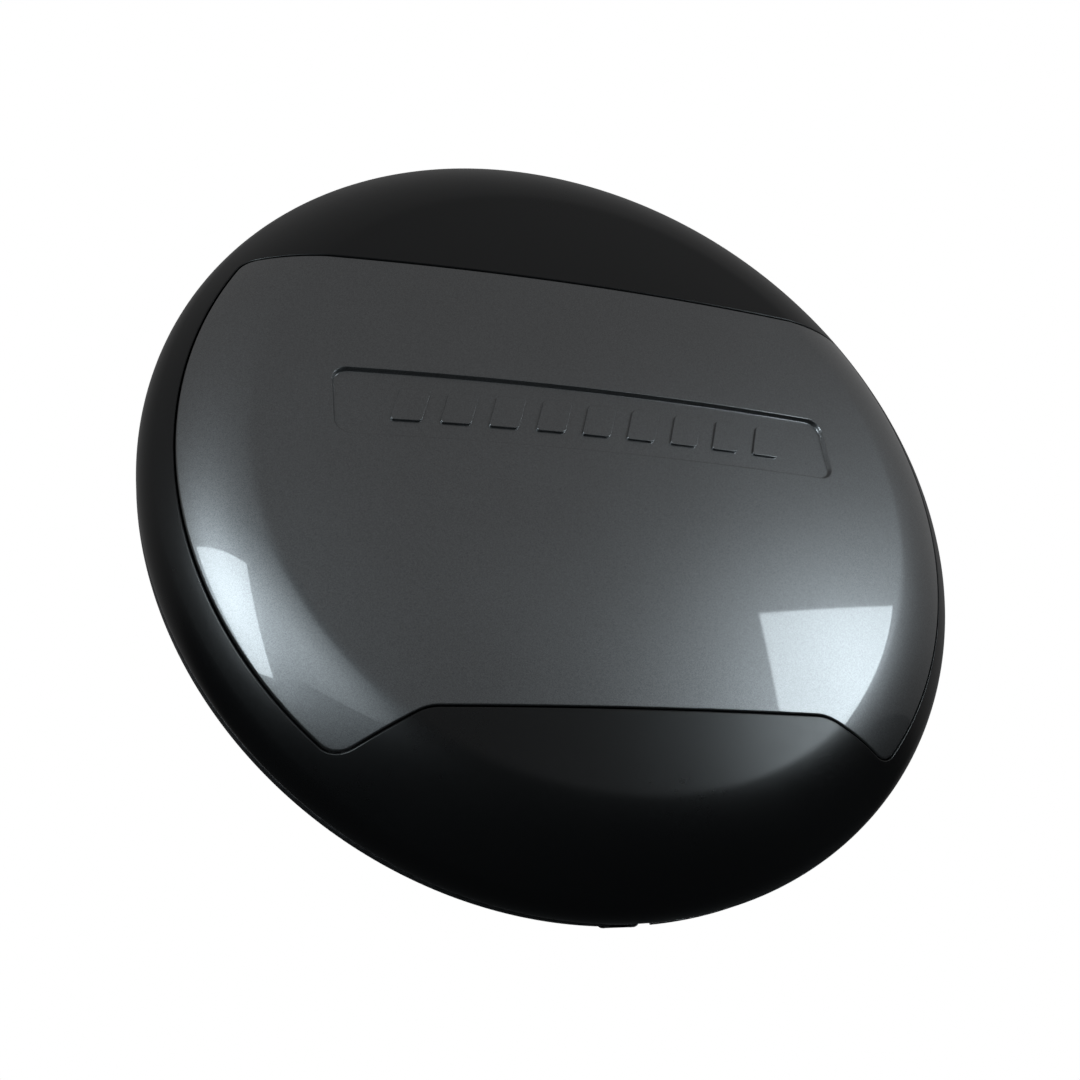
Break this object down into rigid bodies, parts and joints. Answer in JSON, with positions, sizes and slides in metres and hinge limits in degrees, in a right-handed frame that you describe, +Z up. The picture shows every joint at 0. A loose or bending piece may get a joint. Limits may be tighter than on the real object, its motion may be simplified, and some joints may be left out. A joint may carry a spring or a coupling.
{
  "type": "spare tire cover",
  "caption": "Domed round hard cover for a rear-mounted spare wheel, with an inset painted panel and a split clamp ring closed by a lockable draw latch.",
  "frame": {"origin": "on the disc's axis, in the plane of the clamp ring's rear edge, inside the grip on the tyre's tread", "axes": "+Z up as the cover hangs behind a vehicle, +Y along the disc's axis out of its open back, -Y out of the painted face, +X right as seen from the front"},
  "size_m": [0.85, 0.1312, 0.8544],
  "materials": {
    "shell_black": "satin black moulded plastic",
    "panel_paint": "dark grey paint under clear gloss",
    "ring_coat": "black powder coat on pressed steel",
    "latch_black": "glass-filled black plastic",
    "rubber": "black EPDM",
    "foam": "closed-cell foam tape",
    "zinc_steel": "zinc plated",
    "lock_chrome": "plated lock metal"
  },
  "bodies": {
    "shell": {"outer_shell": "shell_black", "centre_panel": "panel_paint", "panel_tape": "foam", "panel_screws": "zinc_steel", "panel_washers": "zinc_steel", "rim_seal": "rubber", "hinge_bracket": "ring_coat", "hinge_screws": "zinc_steel", "hinge_pins": "zinc_steel", "buffer_1": "rubber", "buffer_2": "rubber", "buffer_3": "rubber", "buffer_4": "rubber", "buffer_5": "rubber", "buffer_6": "rubber", "buffer_7": "rubber", "buffer_8": "rubber"},
    "ring_left": {"ring_left": "ring_coat", "liner_left": "rubber", "catch_block": "zinc_steel", "catch_rivets": "zinc_steel"},
    "ring_right": {"ring_right": "ring_coat", "liner_right": "rubber", "latch_housing": "latch_black", "housing_rivets": "zinc_steel", "lever_pins": "zinc_steel", "lever_stop": "rubber"},
    "latch_lever": {"latch_lever": "latch_black", "bail_pin": "zinc_steel", "lock_body": "lock_chrome", "lock_nut": "zinc_steel", "dust_cap_rivet": "zinc_steel"},
    "bail": {"bail": "zinc_steel"},
    "lock_plug": {"lock_plug": "lock_chrome", "lock_cam": "zinc_steel"},
    "dust_cap": {"dust_cap": "latch_black"}
  },
  "joints": [
    {"name": "ring_left_swing", "type": "hinge", "parent": "shell", "child": "ring_left", "pos_m": [-0.013, 0, -0.4164], "axis": [0, -1, 0], "range_deg": [0, 12]},
    {"name": "ring_right_swing", "type": "hinge", "parent": "shell", "child": "ring_right", "pos_m": [0.013, 0, -0.4164], "axis": [0, 1, 0], "range_deg": [0, 12]},
    {"name": "latch_lever_open", "type": "hinge", "parent": "ring_right", "child": "latch_lever", "pos_m": [0.02009, 0, 0.42593], "axis": [0, -1, 0], "range_deg": [0, 110]},
    {"name": "bail_lift", "type": "hinge", "parent": "latch_lever", "child": "bail", "pos_m": [0.0334, 0, 0.41997], "axis": [0, -1, 0], "range_deg": [-121, 0]},
    {"name": "lock_turn", "type": "hinge", "parent": "latch_lever", "child": "lock_plug", "pos_m": [0.11577, 0.0113, 0.40373], "axis": [0.2756, 0, 0.9613], "range_deg": [0, 90]},
    {"name": "dust_cap_swing", "type": "hinge", "parent": "latch_lever", "child": "dust_cap", "pos_m": [0.10548, 0.0113, 0.415], "axis": [0.2756, 0, 0.9613], "range_deg": [0, 110]}
  ],
  "couplings": [
    {"joint": "bail_lift", "follows": "latch_lever_open", "ratio": -1.1}
  ]
}
